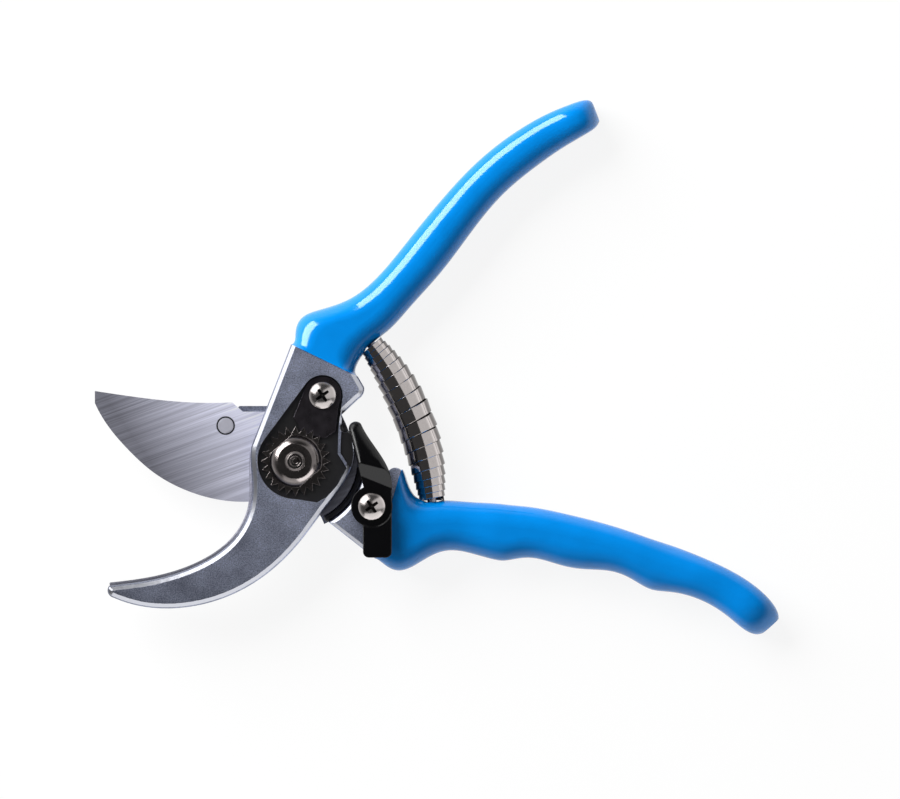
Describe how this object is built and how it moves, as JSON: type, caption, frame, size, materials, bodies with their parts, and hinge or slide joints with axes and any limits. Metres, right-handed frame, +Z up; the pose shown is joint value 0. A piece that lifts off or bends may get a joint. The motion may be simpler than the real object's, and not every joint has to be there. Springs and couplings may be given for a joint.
{
  "type": "pruning shears",
  "caption": "Bypass pruning shears with a curved blade, hooked jaw, strip spring, thumb catch and vinyl grips, lying open.",
  "frame": {"origin": "centre of the pivot bolt head's flat underside, which the shears lie on", "axes": "+Z up along the pivot axis towards the nut, +X from the jaws towards the handles, +Y towards the upper handle"},
  "size_m": [0.2057, 0.1608, 0.0222],
  "materials": {
    "forged_aluminium": "satin forged, bevelled edges",
    "blue_vinyl": "smooth glossy dipped vinyl",
    "blade_steel": "diagonally ground",
    "nickel_strip": "bright nickel plate",
    "screw_nickel": "bright nickel plate",
    "blackened_steel": "black oxide, worn bright at its edges",
    "black_nylon": "moulded, glossy pad and matte facet",
    "black_rubber": "matte",
    "bush_bronze": "machined",
    "peg_steel": "turned",
    "black_acetal": "moulded"
  },
  "bodies": {
    "lower": {"lower_handle": "forged_aluminium", "lower_grip": "blue_vinyl", "lower_spring_peg": "peg_steel", "cutting_blade": "blade_steel", "blade_rivet": "peg_steel", "pivot_bush": "bush_bronze", "friction_washer": "black_acetal", "rubber_bumper": "black_rubber", "main_spring": "nickel_strip", "catch_washer": "peg_steel", "catch_bush": "peg_steel", "catch_screw": "screw_nickel"},
    "upper": {"upper_handle": "forged_aluminium", "upper_grip": "blue_vinyl", "upper_spring_peg": "peg_steel", "counter_blade": "blade_steel", "counter_blade_rivets": "peg_steel", "pivot_bolt": "blackened_steel", "toothed_nut": "blackened_steel", "lock_plate": "blackened_steel", "lock_plate_screw": "screw_nickel"},
    "catch": {"thumb_catch": "black_nylon"}
  },
  "joints": [
    {"name": "blade_pivot", "type": "hinge", "parent": "lower", "child": "upper", "pos_m": [0, 0, 0], "axis": [0, 0, -1], "range_deg": [0, 46], "stiffness_Nm_per_rad": 2, "springref_deg": -8.59, "deforming": ["main_spring"]},
    {"name": "catch_hinge", "type": "hinge", "parent": "lower", "child": "catch", "pos_m": [0.0229, -0.0135, 0], "axis": [0, 0, 1], "range_deg": [0, 18]}
  ]
}
